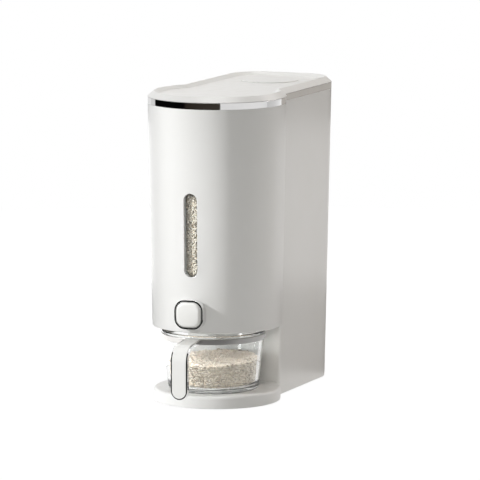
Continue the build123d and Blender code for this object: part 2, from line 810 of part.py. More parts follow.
def chute_screws():
    return [Pos(x, y, flange_z + flange_thick) * screw(chute_screw_length) for x, y in chute_bosses]


def outlet_flap():
    half = chute_half - flap_side_gap
    front = neck_y - neck_outside / 2 - flap_overlap
    plate = span(-half, half, front, pivot_y, flap_top - flap_thick, flap_top)
    hub = rod_along_x(pivot_y, pivot_z, -half, half, hub_radius)
    return plate + hub - rod_along_x(pivot_y, pivot_z, -far, far, shaft_radius)


def flap_shaft():
    reach = chute_half + chute_wall + crank_gap + crank_thick
    return rod_along_x(pivot_y, pivot_z, -reach, reach, shaft_radius)


def crank_arms():
    start = chute_half + chute_wall + crank_gap
    stop = start + crank_thick
    pin_end = stop + yoke_gap + yoke_thick + crank_pin_end
    arm = span(start, stop, pivot_y - crank_half, pivot_y + crank_half, button_z, pivot_z)
    arm += rod_along_x(pivot_y, pivot_z, start, stop, crank_half)
    arm += rod_along_x(pivot_y, button_z, start, stop, crank_half)
    arm += rod_along_x(pivot_y, button_z, stop, pin_end, crank_pin_radius)
    arm -= rod_along_x(pivot_y, pivot_z, start - over, stop + over, shaft_radius)
    return [arm, mirror(arm, Plane.YZ)]


def turned(points, rounds):
    # a profile of (radius, height) points, some of them rounded, turned round the cup's axis
    face = Plane.XZ * make_face(Polyline(points, close=True))
    for (r, z), radius in rounds:
        near = face.vertices().sort_by_distance((r, 0, z))[0]
        face = fillet(near, radius)
    return Pos(0, cup_y, 0) * revolve(face, Axis.Z)


def cup_glass():
    floor = cup_bottom + cup_floor
    bead_low = cup_top - bead_height
    wall_edge = cup_radius(bead_low)
    inner_top = cup_radius(cup_top) - cup_wall
    inner_low = cup_radius(floor) - cup_wall
    foot = (cup_radius(cup_bottom), cup_bottom)
    under = (wall_edge + cup_bead, bead_low)
    crest = (wall_edge + cup_bead, cup_top)
    lip = (inner_top, cup_top)
    cove = (inner_low, floor)
    points = [(0, cup_bottom), foot, (wall_edge, bead_low), under, crest, lip, cove, (0, floor)]
    rounds = [(foot, cup_corner), (cove, cup_inner_corner), (crest, bead_over), (lip, rim_inside)]
    return turned(points, rounds + [(under, bead_under)])


def cup_band():
    low = cup_radius(band_low) + band_gap
    high = cup_radius(band_top) + band_gap
    bottom = (low + band_thick, band_low)
    top = (high + band_thick, band_top)
    points = [(low, band_low), bottom, top, (high, band_top)]
    return turned(points, [(bottom, band_edge), (top, band_edge)])


def handle_path(shift):
    # side view of the bent strip's outer face, (y, z), moved in by shift
    start = cup_y - cup_radius(band_top)
    front = handle_front + shift
    top = band_top - handle_drop - shift * sqrt(1 + handle_fall ** 2)
    corner = (front, top - handle_fall * (start - front))
    return FilletPolyline((start, top), corner, (front, handle_bottom), radius=handle_bend - shift)


def strip(outer_shift, depth, width):
    outer = handle_path(outer_shift)
    inner = handle_path(outer_shift + depth)
    side = make_face([outer, inner, Line(outer @ 0, inner @ 0), Line(outer @ 1, inner @ 1)])
    body = extrude(Plane.YZ * side, amount=width / 2, both=True)
    centre = handle_bottom + handle_width / 2
    tip = rod_along_y(0, centre, handle_front - over, handle_front + handle_bend, width / 2)
    return body & (span(-width / 2, width / 2, -far, 0, centre, far) + tip)


def long_edges(body):
    # all edges of the strip but those at the cup and the short ones through its thickness
    def is_long(edge):
        across = edge.geom_type == GeomType.LINE and abs((edge % 0.5).Y) > 0.9
        return edge.center().Y < cup_y - cup_rim_radius and not (across and edge.length < handle_thick + fuse)
    return body.edges().filter_by(is_long)


def handle_frame():
    body = strip(0, handle_thick, handle_width)
    body = fillet(long_edges(body), handle_edge)
    body -= strip(-over, over + insert_depth, handle_width - 2 * insert_border)
    return body - cup_block(band_gap + band_thick)


def handle_insert():
    width = handle_width - 2 * insert_border - 2 * insert_gap
    body = strip(-insert_proud, insert_depth + insert_proud - insert_gap, width)
    body = fillet(long_edges(body), insert_edge)
    return body - cup_block(band_gap + band_thick + insert_end_gap)


pieces = {
    "rear_housing": rear_housing,
    "front_shell": front_shell,
    "base_tray": base_tray,
    "bottom_plate": bottom_plate,
    "bottom_screws": bottom_screws,
    "rubber_feet": rubber_feet,
    "chrome_ring": chrome_ring,
    "grain_bin": grain_bin,
    "window_lens": window_lens,
    "window_seal": window_seal,
    "lid": lid,
    "lid_seal": lid_seal,
    "hinge_bracket": hinge_bracket,
    "hinge_pin": hinge_pin,
    "hinge_rivets": hinge_rivets,
    "moisture_cap": moisture_cap,
    "moisture_basket": moisture_basket,
    "button_bezel": button_bezel,
    "button_cap": button_cap,
    "push_rod": push_rod,
    "button_guide": button_guide,
    "guide_screws": guide_screws,
    "button_spring": button_spring,
    "outlet_chute": outlet_chute,
    "chute_screws": chute_screws,
    "outlet_flap": outlet_flap,
    "flap_shaft": flap_shaft,
    "crank_arms": crank_arms,
    "cup_glass": cup_glass,
    "cup_band": cup_band,
    "handle_frame": handle_frame,
    "handle_insert": handle_insert,
}

os.makedirs("parts", exist_ok=True)
for name, make in pieces.items():
    made = make()
    if isinstance(made, list):
        made = Compound(children=made)
    export_step(made.moved(Location((0, -middle_y, 0))), f"parts/{name}.step")
    print(name)
print("origin is", round(middle_y, 3), "mm behind the drum's axis")
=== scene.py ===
import math

import bmesh
import bpy
import numpy as np
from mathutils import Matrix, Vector


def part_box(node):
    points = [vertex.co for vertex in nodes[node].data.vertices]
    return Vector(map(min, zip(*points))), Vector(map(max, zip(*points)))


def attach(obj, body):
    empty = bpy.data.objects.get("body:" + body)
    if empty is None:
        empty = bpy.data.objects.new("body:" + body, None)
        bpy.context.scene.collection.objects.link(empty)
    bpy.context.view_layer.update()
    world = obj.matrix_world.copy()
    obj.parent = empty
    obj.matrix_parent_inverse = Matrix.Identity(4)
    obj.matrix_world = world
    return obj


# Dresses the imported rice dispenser: its finishes, the rice in its bin and cup, and the studio round it.
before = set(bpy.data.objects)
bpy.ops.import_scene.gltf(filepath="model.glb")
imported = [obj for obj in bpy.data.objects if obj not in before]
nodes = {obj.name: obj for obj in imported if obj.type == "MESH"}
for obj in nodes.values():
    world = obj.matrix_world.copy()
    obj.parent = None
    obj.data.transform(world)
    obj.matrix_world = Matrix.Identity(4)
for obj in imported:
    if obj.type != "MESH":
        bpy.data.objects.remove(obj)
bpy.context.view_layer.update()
scene = bpy.context.scene
scene.view_settings.view_transform = "Standard"
mm = 0.001


# Object helpers
def addObject(name, data):
    thing = bpy.data.objects.new(name, data)
    scene.collection.objects.link(thing)
    return thing


def meshObject(name, mesh):
    data = bpy.data.meshes.new(name)
    mesh.to_mesh(data)
    mesh.free()
    return addObject(name, data)


def circlePoints(radius, sides):
    angles = [2 * math.pi * i / sides for i in range(sides)]
    return [(math.cos(angle) * radius, math.sin(angle) * radius) for angle in angles]


def bridgeRings(mesh, rings):
    # faces between each ring of points and the next
    count = len(rings[0])
    for low, high in zip(rings, rings[1:]):
        for i in range(count):
            after = (i + 1) % count
            mesh.faces.new((low[i], low[after], high[after], high[i]))


def directionOf(plan):
    # from the dispenser towards a camera or a lamp
    turn, rise = math.radians(plan["turn"]), math.radians(plan["rise"])
    return Vector((math.sin(turn) * math.cos(rise), -math.cos(turn) * math.cos(rise), math.sin(rise)))


# Camera
cameraPlan = {
    "turn": 23.19,                     # degrees to the right of the dispenser's front
    "rise": 8.14,                      # degrees above level
    "distance": 4.877,                 # metres from the pivot
    "pivot": (0.0, -0.0161, 0.171),
    "aside": 0.00904,                  # the middle of the picture lies right of the pivot
    "below": 0.0013,                   # and under it
    "lens": 334.7, "sensor": 36.0,     # millimetres
    "reach": 50.0,                     # metres
}


def placeCamera(plan):
    turn, pivot = math.radians(plan["turn"]), Vector(plan["pivot"])
    back = directionOf(plan)
    right = Vector((math.cos(turn), math.sin(turn), 0.0))
    up = back.cross(right)
    eye = pivot + back * plan["distance"]
    aim = pivot + right * plan["aside"] - up * plan["below"]
    camera = addObject("camera", bpy.data.cameras.new("camera"))
    camera.location = eye
    camera.rotation_euler = (aim - eye).to_track_quat("-Z", "Y").to_euler()
    camera.data.lens = plan["lens"]
    camera.data.sensor_width = plan["sensor"]
    camera.data.clip_end = plan["reach"]
    scene.camera = camera


placeCamera(cameraPlan)
print("camera placed")


# Node helpers
def addNode(tree, kind, **settings):
    node = tree.nodes.new(kind)
    for key, value in settings.items():
        setattr(node, key, value)
    return node


def feed(tree, node, values):
    # sockets by name or number: another node's output, or a plain value
    for name, value in values.items():
        socket = node.inputs[name]
        if isinstance(value, bpy.types.NodeSocket):
            tree.links.new(value, socket)
        else:
            socket.default_value = value
    return node


def mathNode(tree, operation, first, second=0.5, clamp=False):
    node = addNode(tree, "ShaderNodeMath", operation=operation, use_clamp=clamp)
    feed(tree, node, {0: first, 1: second})
    return node.outputs[0]


def spread(tree, value, low, high, outLow, outHigh):
    node = addNode(tree, "ShaderNodeMapRange")
    feed(tree, node, {"Value": value, "From Min": low, "From Max": high, "To Min": outLow, "To Max": outHigh})
    return node.outputs["Result"]


def blendColours(tree, share, first, second):
    node = addNode(tree, "ShaderNodeMix", data_type="RGBA")
    feed(tree, node, {0: share, 6: first, 7: second})
    return node.outputs[2]


def noiseOf(tree, values):
    noise = addNode(tree, "ShaderNodeTexNoise")
    return feed(tree, noise, values).outputs["Fac"]


def bumpFrom(tree, height, plan, normal=None):
    bump = addNode(tree, "ShaderNodeBump")
    feed(tree, bump, {"Height": height, "Strength": plan["bump"], "Distance": plan["height"] * mm})
    if normal is not None:
        feed(tree, bump, {"Normal": normal})
    return bump.outputs["Normal"]


def seenRays(tree):
    # 1 for what the camera sees, straight or through a reflection or a clear piece
    path = addNode(tree, "ShaderNodeLightPath")
    seen = mathNode(tree, "MAXIMUM", path.outputs["Is Camera Ray"], path.outputs["Is Glossy Ray"])
    return mathNode(tree, "MAXIMUM", seen, path.outputs["Is Transmission Ray"])


def newGroup(name, inputs, outputs):
    tree = bpy.data.node_groups.new(name, "ShaderNodeTree")
    for label, kind, value in inputs:
        socket = tree.interface.new_socket(label, in_out="INPUT", socket_type=kind)
        socket.default_value = value
    for label, kind in outputs:
        tree.interface.new_socket(label, in_out="OUTPUT", socket_type=kind)
    return tree, addNode(tree, "NodeGroupInput"), addNode(tree, "NodeGroupOutput")


def placeGroup(tree, group, values):
    node = addNode(tree, "ShaderNodeGroup", node_tree=group)
    return feed(tree, node, values)


number, colour, vector = "NodeSocketFloat", "NodeSocketColor", "NodeSocketVector"


# Shared effects
def makeShadeDrift():
    # a piece's colour wanders a little between two tones
    inputs = [
        ("Colour", colour, (0.8, 0.8, 0.8, 1)),
        ("Second", colour, (0.7, 0.7, 0.7, 1)),
        ("Scale", number, 12.0),
    ]
    tree, start, end = newGroup("shadeDrift", inputs, [("Colour", colour), ("Mask", number)])
    place = addNode(tree, "ShaderNodeTexCoord").outputs["Object"]
    broad = noiseOf(tree, {"Vector": place, "Scale": start.outputs["Scale"], "Detail": 4.0, "Roughness": 0.6})
    mask = spread(tree, broad, 0.35, 0.7, 0.0, 1.0)
    tinted = blendColours(tree, mask, start.outputs["Colour"], start.outputs["Second"])
    feed(tree, end, {"Colour": tinted, "Mask": mask})
    return tree


def makeMouldGrain():
    # fine texture of the surface with faint flow waves under it
    inputs = [("Scale", number, 900.0), ("Waves", number, 0.2)]
    tree, start, end = newGroup("mouldGrain", inputs, [("Height", number)])
    place = addNode(tree, "ShaderNodeTexCoord").outputs["Object"]
    fine = noiseOf(tree, {"Vector": place, "Scale": start.outputs["Scale"], "Detail": 3.0})
    coarse = mathNode(tree, "MULTIPLY", start.outputs["Scale"], 0.03)
    broad = noiseOf(tree, {"Vector": place, "Scale": coarse, "Detail": 1.0})
    waves = mathNode(tree, "MULTIPLY", broad, start.outputs["Waves"])
    feed(tree, end, {"Height": mathNode(tree, "ADD", fine, waves)})
    return tree


def makeEdgeWear():
    # rounds the look of sharp edges and tells where they are
    inputs = [("Radius", number, 0.0005)]
    tree, start, end = newGroup("edgeWear", inputs, [("Normal", vector), ("Mask", number)])
    bevel = addNode(tree, "ShaderNodeBevel", samples=4)
    feed(tree, bevel, {"Radius": start.outputs["Radius"]})
    flat = addNode(tree, "ShaderNodeNewGeometry").outputs["Normal"]
    turn = addNode(tree, "ShaderNodeVectorMath", operation="DOT_PRODUCT")
    feed(tree, turn, {0: bevel.outputs["Normal"], 1: flat})
    mask = spread(tree, turn.outputs["Value"], 1.0, 0.8, 0.0, 1.0)
    feed(tree, end, {"Normal": bevel.outputs["Normal"], "Mask": mask})
    return tree


def makeSettledDust():
    # a thin dusting on what faces up
    inputs = [("Amount", number, 0.2), ("Scale", number, 60.0)]
    tree, start, end = newGroup("settledDust", inputs, [("Mask", number)])
    coords = addNode(tree, "ShaderNodeTexCoord")
    split = addNode(tree, "ShaderNodeSeparateXYZ")
    feed(tree, split, {0: coords.outputs["Normal"]})
    upward = spread(tree, split.outputs["Z"], 0.55, 0.95, 0.0, 1.0)
    place, scale = coords.outputs["Object"], start.outputs["Scale"]
    cloud = noiseOf(tree, {"Vector": place, "Scale": scale, "Detail": 5.0})
    patches = spread(tree, cloud, 0.4, 0.75, 0.0, 1.0)
    mask = mathNode(tree, "MULTIPLY", upward, patches)
    feed(tree, end, {"Mask": mathNode(tree, "MULTIPLY", mask, start.outputs["Amount"])})
    return tree


def makeFineScuffs():
    # hairline rub marks: thin bands of stretched noise in two directions
    inputs = [("Scale", number, 40.0), ("Density", number, 0.3)]
    tree, start, end = newGroup("fineScuffs", inputs, [("Mask", number)])
    place = addNode(tree, "ShaderNodeTexCoord").outputs["Object"]
    marks = []
    for turn, stretch in ((0.5, (1.0, 14.0, 6.0)), (-0.9, (12.0, 1.0, 5.0))):
        lay = addNode(tree, "ShaderNodeMapping")
        feed(tree, lay, {"Vector": place, "Rotation": (0.2, 0.1, turn), "Scale": stretch})
        streaks = {"Vector": lay.outputs[0], "Scale": start.outputs["Scale"], "Detail": 6.0, "Roughness": 0.7}
        marks.append(spread(tree, noiseOf(tree, streaks), 0.6, 0.75, 0.0, 1.0))
    both = mathNode(tree, "MAXIMUM", marks[0], marks[1])
    feed(tree, end, {"Mask": mathNode(tree, "MULTIPLY", both, start.outputs["Density"])})
    return tree


shadeDrift, mouldGrain = makeShadeDrift(), makeMouldGrain()
edgeWear, settledDust, fineScuffs = makeEdgeWear(), makeSettledDust(), makeFineScuffs()
print("shared effects built")


# Finishes. In their plans "height" is the bump's depth and "edge" the rounding, in millimetres; "dulling" is
# the roughness that wear adds; "drift", "grain" and the scales are how many patches there are in a metre.
def startMaterial(name):
    material = bpy.data.materials.new(name)
    material.use_nodes = True
    tree = material.node_tree
    tree.nodes.clear()
    shader = addNode(tree, "ShaderNodeBsdfPrincipled")
    output = addNode(tree, "ShaderNodeOutputMaterial")
    tree.links.new(shader.outputs["BSDF"], output.inputs["Surface"])
    return material, tree, shader, output


def tintFrom(tree, plan):
    tones = {"Colour": (*plan["colour"], 1), "Second": (*plan["second"], 1), "Scale": plan["drift"]}
    return placeGroup(tree, shadeDrift, tones)


def roughnessFrom(tree, mask, plan):
    return spread(tree, mask, 0.0, 1.0, plan["roughness"], plan["roughness"] + plan["dulling"])


mouldedShared = {
    "drift": 14.0, "dulling": 0.18, "bump": 0.6, "ior": 1.46,
    "dustScale": 90.0, "dustColour": (0.66, 0.64, 0.59),
    "scuffScale": 30.0, "rub": 0.3,    # how much worn edges count beside the scuffs
}
mouldedPlans = {
    "shellWhite": {"colour": (0.80, 0.80, 0.785), "second": (0.785, 0.785, 0.765), "roughness": 0.30,
                   "grain": 1100, "height": 0.010, "waves": 0.5, "edge": 0.5, "dust": 0.10, "scuffs": 0.25},
    "trayWhite": {"colour": (0.80, 0.80, 0.785), "second": (0.78, 0.78, 0.76), "roughness": 0.34,
                  "grain": 1100, "height": 0.012, "waves": 0.5, "edge": 0.5, "dust": 0.25, "scuffs": 0.5},
    "lidWhite": {"colour": (0.80, 0.80, 0.785), "second": (0.79, 0.79, 0.77), "roughness": 0.28,
                 "grain": 1100, "height": 0.010, "waves": 0.4, "edge": 0.5, "dust": 0.25, "scuffs": 0.35},
    "buttonWhite": {"colour": (0.82, 0.82, 0.80), "second": (0.81, 0.81, 0.785), "roughness": 0.20,
                    "grain": 1300, "height": 0.006, "waves": 0.4, "edge": 0.4, "dust": 0.05, "scuffs": 0.4},
    "innerWhite": {"colour": (0.74, 0.74, 0.71), "second": (0.70, 0.70, 0.665), "roughness": 0.50,
                   "grain": 700, "height": 0.03, "waves": 0.8, "edge": 0.4, "dust": 0.2, "scuffs": 0.3},
}


def makeMoulded(name, plan):
    material, tree, shader, output = startMaterial(name)
    drift = tintFrom(tree, plan)
    wear = placeGroup(tree, edgeWear, {"Radius": plan["edge"] * mm})
    dust = placeGroup(tree, settledDust, {"Amount": plan["dust"], "Scale": plan["dustScale"]})
    scuffs = placeGroup(tree, fineScuffs, {"Scale": plan["scuffScale"], "Density": plan["scuffs"]})
    grain = placeGroup(tree, mouldGrain, {"Scale": plan["grain"], "Waves": plan["waves"]})
    dusty = blendColours(tree, dust.outputs["Mask"], drift.outputs["Colour"], (*plan["dustColour"], 1))
    worn = mathNode(tree, "MULTIPLY", wear.outputs["Mask"], plan["rub"])
    rubbed = mathNode(tree, "ADD", scuffs.outputs["Mask"], worn)
    dulled = mathNode(tree, "ADD", rubbed, dust.outputs["Mask"], clamp=True)
    bump = bumpFrom(tree, grain.outputs["Height"], plan, wear.outputs["Normal"])
    feed(tree, shader, {"Base Color": dusty, "Roughness": roughnessFrom(tree, dulled, plan)})
    feed(tree, shader, {"Normal": bump, "IOR": plan["ior"]})
    return material


metalShared = {"drift": 40.0, "scuffScale": 60.0, "scuffs": 0.6, "waves": 0.5, "edge": 0.2, "bump": 0.5}
metalPlans = {
    "chromePlate": {"colour": (0.87, 0.865, 0.86), "second": (0.84, 0.835, 0.83),
                    "roughness": 0.02, "dulling": 0.04, "grain": 500, "height": 0.0005},
    "plainSteel": {"colour": (0.56, 0.555, 0.55), "second": (0.48, 0.475, 0.47),
                   "roughness": 0.30, "dulling": 0.15, "grain": 2500, "height": 0.01},
    "bandSteel": {"colour": (0.50, 0.49, 0.475), "second": (0.46, 0.45, 0.435),
                  "roughness": 0.34, "dulling": 0.10, "grain": 2500, "height": 0.008},
}


def makeMetal(name, plan):
    material, tree, shader, output = startMaterial(name)
    drift = tintFrom(tree, plan)
    wear = placeGroup(tree, edgeWear, {"Radius": plan["edge"] * mm})
    scuffs = placeGroup(tree, fineScuffs, {"Scale": plan["scuffScale"], "Density": plan["scuffs"]})
    grain = placeGroup(tree, mouldGrain, {"Scale": plan["grain"], "Waves": plan["waves"]})
    smudged = mathNode(tree, "ADD", scuffs.outputs["Mask"], drift.outputs["Mask"], clamp=True)
    bump = bumpFrom(tree, grain.outputs["Height"], plan, wear.outputs["Normal"])
    roughness = roughnessFrom(tree, smudged, plan)
    feed(tree, shader, {"Base Color": drift.outputs["Colour"], "Roughness": roughness, "Normal": bump})
    feed(tree, shader, {"Metallic": 1.0})
    return material


clearShared = {
    "scuffScale": 50.0, "scuffs": 1.0, "grain": 120.0, "waves": 1.0, "bump": 0.4, "ior": 1.46,
    "shade": (0.93, 0.94, 0.935),      # of the light that falls through
}
clearPlans = {
    "cupClear": {"colour": (0.985, 0.99, 0.985), "roughness": 0.0, "dulling": 0.02, "height": 0.0012},
    "windowClear": {"colour": (0.96, 0.975, 0.97), "roughness": 0.02, "dulling": 0.06, "height": 0.003},
}


def makeClear(name, plan):
    # clear mouldings: lamps shine through them, so what they hold is lit
    material, tree, shader, output = startMaterial(name)
    scuffs = placeGroup(tree, fineScuffs, {"Scale": plan["scuffScale"], "Density": plan["scuffs"]})
    grain = placeGroup(tree, mouldGrain, {"Scale": plan["grain"], "Waves": plan["waves"]})
    roughness = roughnessFrom(tree, scuffs.outputs["Mask"], plan)
    bump = bumpFrom(tree, grain.outputs["Height"], plan)
    feed(tree, shader, {"Base Color": (*plan["colour"], 1), "Roughness": roughness, "Normal": bump})
    feed(tree, shader, {"IOR": plan["ior"], "Transmission Weight": 1.0})
    shadow = addNode(tree, "ShaderNodeLightPath").outputs["Is Shadow Ray"]
    through = addNode(tree, "ShaderNodeBsdfTransparent")
    feed(tree, through, {"Color": (*plan["shade"], 1)})
    either = addNode(tree, "ShaderNodeMixShader")
    feed(tree, either, {0: shadow, 1: shader.outputs["BSDF"], 2: through.outputs["BSDF"]})
    tree.links.new(either.outputs[0], output.inputs["Surface"])
    return material


frostedPlan = {
    "colour": (0.80, 0.81, 0.80), "second": (0.76, 0.77, 0.76), "drift": 20.0,
    "roughness": 0.32, "dulling": 0.10, "edge": 0.4,
    "grain": 800, "waves": 0.6, "height": 0.02, "bump": 0.6,
    "through": 0.3, "ior": 1.5,        # "through" is the share of light that passes
}


def makeFrosted(name, plan):
    # the bin's milky moulding
    material, tree, shader, output = startMaterial(name)
    drift = tintFrom(tree, plan)
    wear = placeGroup(tree, edgeWear, {"Radius": plan["edge"] * mm})
    grain = placeGroup(tree, mouldGrain, {"Scale": plan["grain"], "Waves": plan["waves"]})
    roughness = roughnessFrom(tree, drift.outputs["Mask"], plan)
    bump = bumpFrom(tree, grain.outputs["Height"], plan, wear.outputs["Normal"])
    feed(tree, shader, {"Base Color": drift.outputs["Colour"], "Roughness": roughness, "Normal": bump})
    feed(tree, shader, {"Transmission Weight": plan["through"], "IOR": plan["ior"]})
    return material


rubberShared = {
    "drift": 60.0, "dulling": 0.1, "grain": 1600.0, "waves": 0.6, "bump": 0.7,
    "dust": 0.3, "dustScale": 200.0, "dustColour": (0.5, 0.48, 0.45),
}
rubberPlans = {
    "sealSilicone": {"colour": (0.52, 0.52, 0.50), "second": (0.46, 0.46, 0.44), "roughness": 0.55,
                     "height": 0.03},
    "footRubber": {"colour": (0.10, 0.10, 0.10), "second": (0.07, 0.07, 0.07), "roughness": 0.75,
                   "height": 0.06},
}


def makeRubber(name, plan):
    material, tree, shader, output = startMaterial(name)
    drift = tintFrom(tree, plan)
    dust = placeGroup(tree, settledDust, {"Amount": plan["dust"], "Scale": plan["dustScale"]})
    grain = placeGroup(tree, mouldGrain, {"Scale": plan["grain"], "Waves": plan["waves"]})
    dusty = blendColours(tree, dust.outputs["Mask"], drift.outputs["Colour"], (*plan["dustColour"], 1))
    roughness = roughnessFrom(tree, drift.outputs["Mask"], plan)
    bump = bumpFrom(tree, grain.outputs["Height"], plan)
    feed(tree, shader, {"Base Color": dusty, "Roughness": roughness, "Normal": bump})
    return material


riceFinishPlan = {
    # the first two tones are the grains' painted shaded tones, the next two their painted lit tones; each
    # pair varies at random from grain to grain
    "pale": (0.60, 0.535, 0.44), "warm": (0.36, 0.30, 0.225),
    "paintedLit": (0.90, 0.83, 0.73), "paintedLitWarm": (0.84, 0.74, 0.63),
    "chalk": (0.78, 0.73, 0.65), "spots": 420.0, "height": 0.08, "bump": 0.5,
    "softness": 0.15, "softDepth": (0.002, 0.0015, 0.001),
}


def makeRice(name, plan):
    # each grain has its own tone, chalky spots and a faint sheen; a per-point share mixes in painted light: 0
    # gives the painted shaded tones, 1 the painted lit tones
    material, tree, shader, output = startMaterial(name)
    tones = {key: (*plan[key], 1) for key in ("pale", "warm", "paintedLit", "paintedLitWarm", "chalk")}
    island = addNode(tree, "ShaderNodeNewGeometry").outputs["Random Per Island"]
    paintedLightShare = addNode(tree, "ShaderNodeAttribute", attribute_name="paintedLightShare").outputs["Fac"]
    # painted shade and painted light: a shaded and a lit copy of each grain's tone, mixed by the share
    paintedShade = blendColours(tree, island, tones["pale"], tones["warm"])
    paintedLit = blendColours(tree, island, tones["paintedLit"], tones["paintedLitWarm"])
    tone = blendColours(tree, paintedLightShare, paintedShade, paintedLit)
    place = addNode(tree, "ShaderNodeTexCoord").outputs["Object"]
    spots = noiseOf(tree, {"Vector": place, "Scale": plan["spots"], "Detail": 3.0})
    chalk = spread(tree, spots, 0.5, 0.72, 0.0, 0.6)
    skin = blendColours(tree, chalk, tone, tones["chalk"])
    roughness = spread(tree, spots, 0.3, 0.7, 0.32, 0.55)
    feed(tree, shader, {"Base Color": skin, "Roughness": roughness, "Normal": bumpFrom(tree, spots, plan)})
    feed(tree, shader, {"Subsurface Weight": plan["softness"], "Subsurface Radius": plan["softDepth"]})
    feed(tree, shader, {"Subsurface Scale": 1.0})
    return material


finishes = {name: makeMoulded(name, {**mouldedShared, **plan}) for name, plan in mouldedPlans.items()}
finishes.update({name: makeMetal(name, {**metalShared, **plan}) for name, plan in metalPlans.items()})
finishes.update({name: makeClear(name, {**clearShared, **plan}) for name, plan in clearPlans.items()})
finishes.update({name: makeRubber(name, {**rubberShared, **plan}) for name, plan in rubberPlans.items()})
finishes["binFrosted"] = makeFrosted("binFrosted", frostedPlan)
finishes["riceGrain"] = makeRice("riceGrain", riceFinishPlan)
print("finishes built:", len(finishes))

nodeFinishes = {
    "rear_housing": "shellWhite", "front_shell": "shellWhite", "base_tray": "trayWhite",
    "bottom_plate": "innerWhite", "bottom_screws": "plainSteel", "rubber_feet": "footRubber",
    "chrome_ring": "chromePlate", "grain_bin": "binFrosted", "window_lens": "windowClear",
    "window_seal": "sealSilicone", "lid": "lidWhite", "lid_seal": "sealSilicone",
    "hinge_bracket": "shellWhite", "hinge_pin": "plainSteel", "hinge_rivets": "plainSteel",
    "moisture_cap": "lidWhite", "moisture_basket": "innerWhite", "button_bezel": "chromePlate",
    "button_cap": "buttonWhite", "push_rod": "innerWhite", "button_guide": "innerWhite",
    "guide_screws": "plainSteel", "button_spring": "plainSteel", "outlet_chute": "innerWhite",
    "chute_screws": "plainSteel", "outlet_flap": "innerWhite", "flap_shaft": "plainSteel",
    "crank_arms": "innerWhite", "cup_glass": "cupClear", "cup_band": "bandSteel",
    "handle_frame": "chromePlate", "handle_insert": "buttonWhite",
}
for name, finish in nodeFinishes.items():
    nodes[name].data.materials.clear()
    nodes[name].data.materials.append(finishes[finish])
print("finishes on", len(nodeFinishes), "nodes")


# Shape of the bin, from the frame
shellLow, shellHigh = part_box("front_shell")
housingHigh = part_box("rear_housing")[1]
drumTop = shellHigh.x                       # the drum's radius at its top
axisY = shellLow.y + drumTop                # its axis
drumDraft, boxDraft = 0.019, 0.023          # how fast the drum and the box narrow downwards
rearCorner = 40 * mm


def drumRadius(z):
    return drumTop - drumDraft * (shellHigh.z - z)


def boxHalf(z):
    return housingHigh.x - boxDraft * (shellHigh.z - z)


def binOutline(z, inset, steps=40, cornerSteps=8):
    # the round front and the box behind it, as points round the outside at one height
    radius, half = drumRadius(z) - inset, boxHalf(z) - inset
    back, corner = housingHigh.y - inset, rearCorner - inset
    meet = math.asin(half / radius)
    points = []
    for i in range(steps + 1):
        angle = -math.pi + meet + (2 * math.pi - 2 * meet) * i / steps
        points.append((math.sin(angle) * radius, axisY - math.cos(angle) * radius))
    for centreX, first in ((half - corner, 0.0), (corner - half, math.pi / 2)):
        for i in range(cornerSteps + 1):
            angle = first + math.pi / 2 * i / cornerSteps
            points.append((centreX + math.cos(angle) * corner, back - corner + math.sin(angle) * corner))
    return points


# Rice. Its plans are in millimetres, and the share of painted light runs from 0, painted shade, to 1, painted
# lit tones.
ricePlan = {
    "length": 4.8, "width": 2.4, "thick": 1.9,   # of a grain
    "fullness": 0.8, "taper": 0.12,
    "rings": 6, "sides": 6,
    "variety": 0.12,                   # how far sizes vary
    "tip": 0.22, "roll": 0.2,          # of the grains on top, from lying flat
    "lift": 0.3,                       # share of a grain's shift that goes upwards
}


def grainShape(plan):
    # one grain along x, blunt at one end, as vertices and faces
    points, faces = [(-plan["length"] / 2, 0.0, 0.0)], []
    rings, sides = plan["rings"], plan["sides"]
    for i in range(1, rings):
        turn = math.pi * i / rings
        fat = math.sin(turn) ** plan["fullness"] * (1 + plan["taper"] * math.cos(turn))
        for y, z in circlePoints(fat / 2, sides):
            points.append((-math.cos(turn) * plan["length"] / 2, y * plan["width"], z * plan["thick"]))
    points.append((plan["length"] / 2, 0.0, 0.0))
    last = len(points) - 1
    for k in range(sides):
        after = (k + 1) % sides
        faces.append((0, 1 + after, 1 + k))
        faces.append((last, last - sides + k, last - sides + after))
        for i in range(rings - 2):
            low = 1 + i * sides
            faces.append((low + k, low + after, low + sides + after, low + sides + k))
    return np.array(points) * mm, faces


def lieFlat(draw):
    # directions of a grain on the pile, turned at will and a little tipped
    turn = draw.random() * 2 * math.pi
    along = (math.cos(turn), math.sin(turn), draw.normal() * ricePlan["tip"])
    upward = (draw.normal() * ricePlan["roll"], draw.normal() * ricePlan["roll"], 1.0)
    return along, upward


